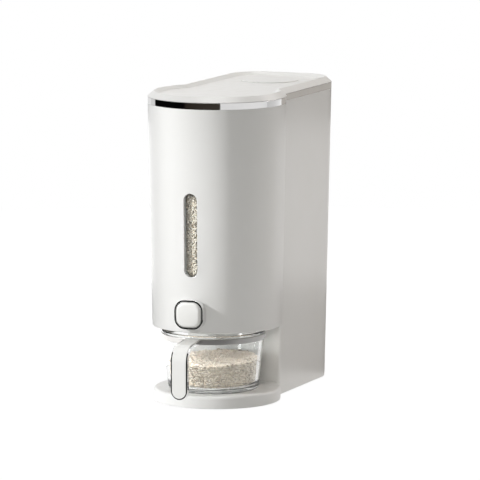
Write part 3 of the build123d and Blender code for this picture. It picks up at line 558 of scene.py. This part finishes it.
def scatterGrains(name, grains, draw):
    # one mesh of many grains: each has its centre, the directions of its length and of its flat side, and
    # its share of painted light
    shape, faces = grainShape(ricePlan)
    centres, along, upward = (np.array([grain[i] for grain in grains], float) for i in range(3))
    paintedLightShare = np.array([grain[3] for grain in grains], dtype=np.float32)
    along = along / np.linalg.norm(along, axis=1, keepdims=True)
    side = np.cross(upward, along)
    side = side / np.linalg.norm(side, axis=1, keepdims=True)
    upward = np.cross(along, side)
    sizes = 1 + ricePlan["variety"] * (draw.random((len(centres), 3)) - 0.5) * (2, 1, 1)
    local = shape[None, :, :] * sizes[:, None, :]
    world = (local[:, :, :1] * along[:, None, :] + local[:, :, 1:2] * side[:, None, :]
             + local[:, :, 2:] * upward[:, None, :] + centres[:, None, :])
    count = len(shape)
    allFaces = [tuple(v + g * count for v in face) for g in range(len(centres)) for face in faces]
    mesh = bpy.data.meshes.new(name)
    mesh.from_pydata(world.reshape(-1, 3).tolist(), [], allFaces)
    mesh.shade_smooth()
    # the share of painted light, per point, that the rice finish reads
    paintedLightAttribute = mesh.attributes.new("paintedLightShare", "FLOAT", "POINT")
    paintedLightAttribute.data.foreach_set("value", np.repeat(paintedLightShare, count))
    mesh.materials.append(finishes["riceGrain"])
    return addObject(name, mesh)


def finishPile(name, mesh, body):
    mesh.normal_update()
    pile = meshObject(name, mesh)
    pile.data.shade_smooth()
    pile.data.materials.append(finishes["riceGrain"])
    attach(pile, body)


cupRicePlan = {
    "level": 47.2, "floor": 18.8,      # heights of the rice's top and of the cup's floor
    "foot": 49.3, "rim": 55.6,         # the cup's outer radius at its bottom and top
    "wall": 3.2, "cove": 7.0,
    "heap": (-30.0, 8.0), "heapHeight": 2.5, "heapRadius": 16.0,
    "tilt": (0.035, 0.045),            # the level rises to the right and to the back
    "ripple": 0.4,
    # the grains on top take the painted lit tones in full
    "pitch": 2.5, "layers": 2, "sink": 0.9, "layerStep": 1.6, "wallGap": 2.6, "topPaintedLight": 1.0,
    "ringGap": 1.25, "ringPitch": 3.5, "ringFirst": 1.3, "ringStep": 2.0, "ringCover": 0.6,
    # the grains against the glass take the painted shaded tones
    "ringTip": 0.45, "ringRoll": 0.2, "ringShift": 0.5, "ringPaintedLight": 0.0,
    "glassGap": 0.15, "floorGap": 0.3,
    "coreGap": 2.0, "coreStep": 1.5, "coreLevels": 18, "coreSink": 2.6,
}
cupLow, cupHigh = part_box("cup_glass")
cupAxis = ((cupLow.x + cupHigh.x) / 2, (cupLow.y + cupHigh.y) / 2)
cupLean = (cupRicePlan["rim"] - cupRicePlan["foot"]) * mm / (cupHigh.z - cupLow.z)


def cupInside(z, plan):
    # radius of the cup's inside at a height, with its rounded bottom corner
    radius = plan["foot"] * mm + cupLean * (z - cupLow.z) - plan["wall"] * mm
    cove, rise = plan["cove"] * mm, z - plan["floor"] * mm
    if rise < cove:
        radius -= cove - math.sqrt(max(cove ** 2 - (cove - rise) ** 2, 0.0))
    return radius


def riceLevel(x, y, plan):
    # the rice's top in the cup: a slight slope with a heap at the back left and a ripple
    dx, dy = x / mm - plan["heap"][0], y / mm - plan["heap"][1]
    heap = plan["heapHeight"] * math.exp(-(dx ** 2 + dy ** 2) / plan["heapRadius"] ** 2)
    ripple = plan["ripple"] * math.sin(x / mm * 0.21 + 1.0) * math.cos(y / mm * 0.17)
    lean = x / mm * plan["tilt"][0] + y / mm * plan["tilt"][1]
    return (plan["level"] + lean + heap + ripple) * mm


def topOfCup(plan, draw):
    # the grains on top
    grains = []
    pitch, radius = plan["pitch"] * mm, cupInside(plan["level"] * mm, plan)
    reach = int(radius / pitch) + 1
    for layer in range(plan["layers"]):
        depth = (plan["sink"] + plan["layerStep"] * layer) * mm
        for i in range(-reach, reach + 1):
            for k in range(-reach, reach + 1):
                shift = (draw.random(3) - 0.5) * pitch
                x, y = i * pitch + shift[0], k * pitch + shift[1]
                if math.hypot(x, y) > radius - plan["wallGap"] * mm:
                    continue
                z = riceLevel(x, y, plan) - depth + ricePlan["lift"] * shift[2]
                along, upward = lieFlat(draw)
                grains.append(((cupAxis[0] + x, cupAxis[1] + y, z), along, upward, plan["topPaintedLight"]))
    return grains


def sideOfCup(plan, draw):
    # the grains that lie against the glass
    grains = []
    z = plan["floor"] * mm + plan["ringFirst"] * mm
    while z < plan["level"] * mm + plan["heapHeight"] * mm:
        ring = cupInside(z, plan) - plan["ringGap"] * mm
        count = int(2 * math.pi * ring / (plan["ringPitch"] * mm))
        for i in range(count):
            angle = 2 * math.pi * (i + draw.random()) / count
            x, y = math.cos(angle) * ring, math.sin(angle) * ring
            if z > riceLevel(x, y, plan) - plan["ringCover"] * mm:
                continue
            tip = draw.normal() * plan["ringTip"]
            centre = (cupAxis[0] + x, cupAxis[1] + y, z + draw.normal() * plan["ringShift"] * mm)
            along = (-math.sin(angle) * math.cos(tip), math.cos(angle) * math.cos(tip), math.sin(tip))
            upward = (math.cos(angle), math.sin(angle), plan["ringRoll"] * draw.normal())
            grains.append((centre, along, upward, plan["ringPaintedLight"]))
        z += plan["ringStep"] * mm
    return grains


def keepOffGlass(rice, plan):
    # no grain's end reaches into the cup's wall or floor
    co = np.empty(len(rice.data.vertices) * 3)
    rice.data.vertices.foreach_get("co", co)
    co = co.reshape(-1, 3)
    off = co[:, :2] - np.array(cupAxis)
    far = np.linalg.norm(off, axis=1)
    lowest = (plan["floor"] + plan["floorGap"]) * mm
    limit = np.array([cupInside(max(z, lowest), plan) for z in co[:, 2]]) - plan["glassGap"] * mm
    share = np.minimum(1.0, limit / np.maximum(far, 1e-9))
    co[:, :2] = np.array(cupAxis) + off * share[:, None]
    co[:, 2] = np.maximum(co[:, 2], (plan["floor"] + plan["glassGap"]) * mm)
    rice.data.vertices.foreach_set("co", co.ravel())


def fillCup(plan):
    draw = np.random.default_rng(11)
    grains = topOfCup(plan, draw) + sideOfCup(plan, draw)
    rice = scatterGrains("cupRice", grains, draw)
    keepOffGlass(rice, plan)
    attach(rice, "cup")
    return len(grains)


def fillCupCore(plan):
    # the unseen middle of the rice, under its grains
    mesh = bmesh.new()
    rings, sides = [], 64

    def addRing(radius, heightAt):
        row = []
        for x, y in circlePoints(radius, sides):
            row.append(mesh.verts.new((cupAxis[0] + x, cupAxis[1] + y, heightAt(x, y))))
        rings.append(row)

    for i in range(plan["coreLevels"]):
        z = plan["floor"] * mm + plan["floorGap"] * mm + i * plan["coreStep"] * mm
        radius = cupInside(z, plan) - plan["coreGap"] * mm
        addRing(radius, lambda x, y: z)
    for share in (0.96, 0.8, 0.6, 0.4, 0.2):
        addRing(radius * share, lambda x, y: riceLevel(x, y, plan) - plan["coreSink"] * mm)
    bridgeRings(mesh, rings)
    mesh.faces.new(rings[-1])
    mesh.faces.new(list(reversed(rings[0])))
    finishPile("cupRiceCore", mesh, "cup")


print("cup rice:", fillCup(cupRicePlan), "grains")
fillCupCore(cupRicePlan)

binRicePlan = {
    "inset": 6.9,                      # from the drum's outside to the rice
    "top": 268.0, "low": 136.0,        # heights of the rice's top and of the lowest part that is drawn
    "hollow": 5.0, "hollowRadius": 45.0, "hollowAhead": 7.0,   # over the outlet
    "ripple": 1.2,
    "pitch": 3.1, "columns": 24, "rows": 95, "layers": 2, "sink": 0.8, "layerStep": 1.7, "wallGap": 2.9,
    "slotEdge": 3.6,                   # from the pane's edge to the window's slot
    "paneInset": 5.0, "paneGap": 1.1, "paneLayers": 3, "paneStep": 1.5,
    "paneColumns": 4, "paneAside": 2.6, "paneRow": 2.3, "paneMargin": 3.0, "behindWall": 2.7,
    "paneDraw": 0.3, "paneShift": 0.4, "paneRoll": 0.15,       # how far these grains stray
    # the bin's grains take the painted shaded tones with a little painted light
    "paintedLightShare": 0.35,
    "coreGap": 3.2, "coreSink": 8.0, "coreCrown": 3.0, "coreSteps": 6,
    "hopperFoot": 60.0,                # the core's back slopes up from this height on the drum's axis
}


def inBin(x, y, z, inset):
    if math.hypot(x, y - axisY) < drumRadius(z) - inset:
        return True
    half, back, corner = boxHalf(z) - inset, housingHigh.y - inset, rearCorner - inset
    if y < axisY or abs(x) > half or y > back:
        return False
    past = max(abs(x) - (half - corner), 0.0), max(y - (back - corner), 0.0)
    return math.hypot(*past) < corner


def binTop(x, y, plan):
    # a full bin's top, hollowed a little over the outlet
    away = x ** 2 + (y - axisY + plan["hollowAhead"] * mm) ** 2
    hollow = plan["hollow"] * math.exp(-away / (plan["hollowRadius"] * mm) ** 2)
    ripple = plan["ripple"] * math.sin(x * 48 + 0.6) * math.cos(y * 37)
    return (plan["top"] - hollow + ripple) * mm


def topOfBin(plan, draw):
    grains = []
    pitch = plan["pitch"] * mm
    for layer in range(plan["layers"]):
        depth = (plan["sink"] + plan["layerStep"] * layer) * mm
        for i in range(-plan["columns"], plan["columns"] + 1):
            for k in range(plan["rows"]):
                shift = (draw.random(3) - 0.5) * pitch
                x, y = i * pitch + shift[0], shellLow.y + k * pitch + shift[1]
                z = binTop(x, y, plan) - depth + ricePlan["lift"] * shift[2]
                if not inBin(x, y, z, plan["inset"] * mm + plan["wallGap"] * mm):
                    continue
                along, upward = lieFlat(draw)
                grains.append(((x, y, z), along, upward, plan["paintedLightShare"]))
    return grains


def behindWindow(plan, draw):
    # the grains that press against the pane; beside the slot they lie further in, behind the wall
    grains = []
    edge, margin = plan["slotEdge"] * mm, plan["paneMargin"] * mm
    paneLow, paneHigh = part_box("window_lens")
    slotHalf = (paneHigh.x - paneLow.x) / 2 - edge
    low, high = paneLow.z + edge, paneHigh.z - edge
    for layer in range(plan["paneLayers"]):
        z = low - margin
        while z < high + margin:
            for i in range(-plan["paneColumns"], plan["paneColumns"] + 1):
                x = (i + draw.random() - 0.5) * plan["paneAside"] * mm
                depth = plan["paneInset"] + plan["paneGap"] + plan["paneStep"] * layer
                depth += plan["paneDraw"] * draw.random()
                inSlot = abs(x) < slotHalf - plan["paneAside"] * mm and low + margin < z < high - margin
                if not inSlot:
                    depth += plan["behindWall"]
                radius = drumRadius(z) - depth * mm
                turn = draw.random() * math.pi
                angle = math.asin(x / radius)
                rise = draw.normal() * plan["paneShift"] * mm
                centre = (x, axisY - math.cos(angle) * radius, z + rise)
                along = (math.cos(turn), math.sin(angle) * 0.5, math.sin(turn))
                upward = (math.sin(angle), -math.cos(angle), draw.normal() * plan["paneRoll"])
                grains.append((centre, along, upward, plan["paintedLightShare"]))
            z += plan["paneRow"] * mm
    return grains


def fillBin(plan):
    draw = np.random.default_rng(23)
    grains = topOfBin(plan, draw) + behindWindow(plan, draw)
    rice = scatterGrains("binRice", grains, draw)
    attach(rice, "housing")
    return len(grains)


def fillBinCore(plan):
    # the unseen middle, with a sloping back under it
    mesh = bmesh.new()
    rings = []
    inset, steps = (plan["inset"] + plan["coreGap"]) * mm, plan["coreSteps"]
    for i in range(steps + 1):
        z = plan["low"] + (plan["top"] - plan["coreSink"] - plan["low"]) * i / steps
        backmost = axisY + (z - plan["hopperFoot"]) * mm
        rings.append([mesh.verts.new((x, min(y, backmost), z * mm)) for x, y in binOutline(z * mm, inset)])
    crown = []
    for x, y, z in [v.co for v in rings[-1]]:
        crown.append(mesh.verts.new((x, y, binTop(x, y, plan) - plan["coreCrown"] * mm)))
    rings.append(crown)
    bridgeRings(mesh, rings)
    mesh.faces.new(list(reversed(rings[0])))
    top = mesh.faces.new(crown)
    bmesh.ops.triangulate(mesh, faces=[top])
    finishPile("binRiceCore", mesh, "housing")


print("bin rice:", fillBin(binRicePlan), "grains")
fillBinCore(binRicePlan)


# Studio: a pale floor, screens of cards that only reflections show, and the lamps
studioPlan = {
    "floorRadius": 1.5, "floorSides": 96, "floorDrop": 0.0002,
    "floorColour": (0.82, 0.82, 0.815), "floorRoughness": 0.8,
    "shadowShare": 0.10,               # how much of the floor's own shading the camera sees
    "floorGlow": 1.06,                 # of the rest, where 1 is white
    "ambient": 0.145,                  # the room's light
    "screenMiddle": (0.0, -0.04, 0.0), "screenSides": 180,
    "lampAim": (0.0, -0.02, 0.17), "beamHeight": 0.19,
}
# Each screen of cards stands round the dispenser between two heights and shows up only in the reflections
# of the pieces it lights. "clear" ones let the next screen show behind them, and "apron" is the inner radius
# of a foot that lies along the floor. A card is a brightness or a colour at an angle to the right of the
# front; two angles close together make a hard edge.
screenPlans = {
    "ringCards": {                     # the chrome ring's stripes
        "radius": 0.46, "low": 0.0005, "high": 0.60, "apron": 0.19,
        "lights": ("chrome_ring", "hinge_pin", "hinge_rivets", "lid", "moisture_cap"),
        "cards": [(-180, 0.45), (-150, 0.90), (-136, 0.90), (-135, 0.78), (-119, 0.82), (-111, 0.88),
                  (-109, 0.70), (-92.2, 0.72), (-91.7, 0.002), (-27, 0.002), (-26, (0.022, 0.018, 0.014)),
                  (4, (0.036, 0.030, 0.025)), (26.7, (0.044, 0.037, 0.031)), (27.2, 0.77), (92, 0.82),
                  (105.8, 0.80), (106.4, 0.59), (124, 0.66), (136, 0.80), (148.6, 0.97),
                  (149.2, (0.46, 0.435, 0.405)), (165, (0.45, 0.425, 0.395))],
    },
    "sheenCards": {                    # the soft sheen down the drum, lit for the white plastic alone
        "radius": 0.455, "low": 0.055, "high": 0.253, "clear": True,
        "lights": ("front_shell", "rear_housing", "base_tray", "button_cap", "handle_insert"),
        "cards": [(-180, 1.6), (-120, 1.4), (-90, 0.1), (-50, 0.0), (-35, 0.1), (-10, 1.1), (8, 2.2),
                  (22, 2.6), (35, 2.3), (47, 0.5), (56, 0.45), (90, 0.85), (120, 1.0), (140, 1.3),
                  (160, 0.8)],
    },
    "rimCards": {                      # black lines with bright glints on the button's rim and the handle
        "radius": 0.45, "low": 0.001, "high": 0.60, "clear": True,
        "lights": ("button_bezel", "handle_frame"),
        "cards": [(-180, 0.03), (-101, 0.03), (-100, 0.75), (-78, 0.75), (-77, 0.003), (42, 0.003),
                  (43, 0.85), (112, 0.85), (113, 0.25), (150, 0.20), (165, 0.03)],
    },
    "lowCards": {                      # the cup's band: bright to the left, grey in front
        "radius": 0.445, "low": 0.0015, "high": 0.055, "apron": 0.19, "clear": True,
        "lights": ("cup_band", "cup_glass", "handle_insert"),
        "cards": [(-180, 2.2), (-50, 2.2), (-30, 0.35), (-10, 0.12), (40, 0.12), (70, 0.5), (150, 0.9)],
    },
}
cupPieces = ("handle_insert", "cup_glass", "cup_band")
drumPieces = ("front_shell", "button_cap", "button_bezel")
uprightPieces = (*drumPieces, *cupPieces, "handle_frame", "rear_housing", "base_tray")
warmFill, coolKey = (1, 0.985, 0.95), (0.985, 0.99, 1)
keySide = {"turn": -55.0, "rise": 23.5, "colour": coolKey}
# Lamps by direction, distance and size in metres, and watts. "lights" and "shadows" name the only pieces
# that a lamp lights or that shade it.
lampPlans = {
    "keyLamp": {**keySide, "distance": 3.2, "size": 0.20, "power": 52.0},
    "sideKey": {**keySide, "distance": 3.2, "size": 0.20, "power": 19.0, "lights": uprightPieces},
    # a narrow upright beam along the drum, past its middle
    "edgeBeam": {**keySide, "distance": 1.6, "size": 0.05, "power": 135.0, "lights": drumPieces,
                 "beam": 1.45, "stretch": 15.0, "aside": 0.074},
    "lowFill": {"turn": -46.0, "rise": 3.0, "distance": 2.5, "size": 0.6, "power": 17.0, "colour": coolKey,
                "lights": ("base_tray", *cupPieces)},
    "bayGlow": {"turn": 14.0, "rise": 8.0, "distance": 2.5, "size": 0.5, "power": 6.5,
                "colour": (1, 0.92, 0.84), "lights": ("rear_housing",)},
    "rearSoftbox": {"turn": 142.0, "rise": 34.0, "distance": 2.6, "size": 1.3, "power": 21.0,
                    "colour": (1, 0.925, 0.885)},
    "topSoftbox": {"turn": 0.0, "rise": 88.0, "distance": 2.4, "size": 1.4, "power": 21.0,
                   "colour": (1, 0.99, 0.985)},
    "frontFill": {"turn": 40.0, "rise": 38.0, "distance": 3.0, "size": 1.0, "power": 9.8, "colour": warmFill},
    "windowBeam": {"turn": -54.0, "rise": 12.0, "distance": 2.5, "size": 0.12, "power": 42.0,
                   "colour": (1, 1, 0.98), "lights": ("binRice",)},
    "riceGlow": {"turn": 10.0, "rise": 68.0, "distance": 2.0, "size": 0.5, "power": 6.5,
                 "colour": (1, 0.91, 0.84), "lights": ("cupRice",), "shadows": ("cupRice", "cupRiceCore")},
}


def gather(name, labels):
    group = bpy.data.collections.new(name)
    for label in labels:
        group.objects.link(nodes[label] if label in nodes else bpy.data.objects[label])
    return group


def linkLight(source, plan):
    if "lights" in plan:
        source.light_linking.receiver_collection = gather(source.name + "Lit", plan["lights"])
    if "shadows" in plan:
        source.light_linking.blocker_collection = gather(source.name + "Shade", plan["shadows"])


def makeFloor(plan):
    mesh = bmesh.new()
    bmesh.ops.create_circle(mesh, cap_ends=True, segments=plan["floorSides"], radius=plan["floorRadius"])
    floor = meshObject("floor", mesh)
    floor.location = (0.0, 0.0, -plan["floorDrop"])
    material, tree, shader, output = startMaterial("floorPale")
    feed(tree, shader, {"Base Color": (*plan["floorColour"], 1), "Roughness": plan["floorRoughness"]})
    white = addNode(tree, "ShaderNodeEmission")
    feed(tree, white, {"Color": (1, 1, 1, 1), "Strength": plan["floorGlow"]})
    share = mathNode(tree, "MULTIPLY", seenRays(tree), 1 - plan["shadowShare"])
    both = addNode(tree, "ShaderNodeMixShader")
    feed(tree, both, {0: share, 1: shader.outputs["BSDF"], 2: white.outputs[0]})
    tree.links.new(both.outputs[0], output.inputs["Surface"])
    floor.data.materials.append(material)


def makeCards(name, plan):
    # upright stripes that glow, by their angle round the screen
    material, tree, shader, output = startMaterial(name)
    tree.nodes.remove(shader)
    split = addNode(tree, "ShaderNodeSeparateXYZ")
    feed(tree, split, {0: addNode(tree, "ShaderNodeTexCoord").outputs["Object"]})
    ahead = mathNode(tree, "MULTIPLY", split.outputs["Y"], -1.0)
    turn = mathNode(tree, "ARCTAN2", split.outputs["X"], ahead)
    stripes = addNode(tree, "ShaderNodeValToRGB")
    stops = stripes.color_ramp.elements
    while len(stops) < len(plan["cards"]):
        stops.new(1.0)
    for stop, (angle, bright) in zip(stops, plan["cards"]):
        stop.position = (angle + 180) / 360
        stop.color = (*(bright if isinstance(bright, tuple) else [bright] * 3), 1)
    feed(tree, stripes, {0: spread(tree, turn, -math.pi, math.pi, 0.0, 1.0)})
    surface = glow = addNode(tree, "ShaderNodeEmission")
    feed(tree, glow, {"Color": stripes.outputs["Color"], "Strength": 1.0})
    if plan.get("clear"):
        surface = addNode(tree, "ShaderNodeAddShader")
        through = addNode(tree, "ShaderNodeBsdfTransparent")
        feed(tree, surface, {0: glow.outputs[0], 1: through.outputs[0]})
    tree.links.new(surface.outputs[0], output.inputs["Surface"])
    return material


def standCards(name, plan):
    mesh = bmesh.new()
    rows = [(plan["radius"], plan["low"]), (plan["radius"], plan["high"])]
    if "apron" in plan:
        rows.insert(0, (plan["apron"], plan["low"]))
    rings = []
    for radius, z in rows:
        points = circlePoints(radius, studioPlan["screenSides"])
        rings.append([mesh.verts.new((x, y, z)) for x, y in points])
    bridgeRings(mesh, rings)
    screen = meshObject(name, mesh)
    screen.location = studioPlan["screenMiddle"]
    screen.data.materials.append(makeCards(name, plan))
    screen.visible_camera = screen.visible_diffuse = screen.visible_transmission = False
    screen.visible_shadow = screen.visible_volume_scatter = False
    linkLight(screen, plan)


def lightRoom(plan):
    # the camera and the reflections see white, and the pieces get a low even light
    world = bpy.data.worlds.new("studio")
    scene.world = world
    world.use_nodes = True
    tree = world.node_tree
    tree.nodes.clear()
    white = addNode(tree, "ShaderNodeBackground")
    feed(tree, white, {"Color": (1, 1, 1, 1), "Strength": 1.0})
    light = addNode(tree, "ShaderNodeBackground")
    feed(tree, light, {"Color": (*warmFill, 1), "Strength": plan["ambient"]})
    both = addNode(tree, "ShaderNodeMixShader")
    feed(tree, both, {0: seenRays(tree), 1: light.outputs[0], 2: white.outputs[0]})
    output = addNode(tree, "ShaderNodeOutputWorld")
    tree.links.new(both.outputs[0], output.inputs["Surface"])


def hangLamps(plans):
    for name, plan in plans.items():
        data = bpy.data.lights.new(name, "SPOT" if "beam" in plan else "AREA")
        data.energy = plan["power"]
        data.color = plan["colour"]
        lamp = addObject(name, data)
        if "beam" in plan:
            data.shadow_soft_size = plan["size"]
            data.spot_size = math.radians(plan["beam"])
            data.spot_blend = 1.0
            lamp.scale = (1.0, plan["stretch"], 1.0)
            turn, aside = math.radians(plan["turn"]), plan["aside"]
            aim = Vector((math.cos(turn) * aside, axisY + math.sin(turn) * aside, studioPlan["beamHeight"]))
        else:
            data.shape = "DISK"
            data.size = plan["size"]
            aim = Vector(studioPlan["lampAim"])
        toward = directionOf(plan)
        lamp.location = aim + toward * plan["distance"]
        lamp.rotation_euler = toward.to_track_quat("Z", "Y").to_euler()
        linkLight(lamp, plan)


makeFloor(studioPlan)
for name, plan in screenPlans.items():
    standCards(name, plan)
lightRoom(studioPlan)
hangLamps(lampPlans)
print("studio lit")
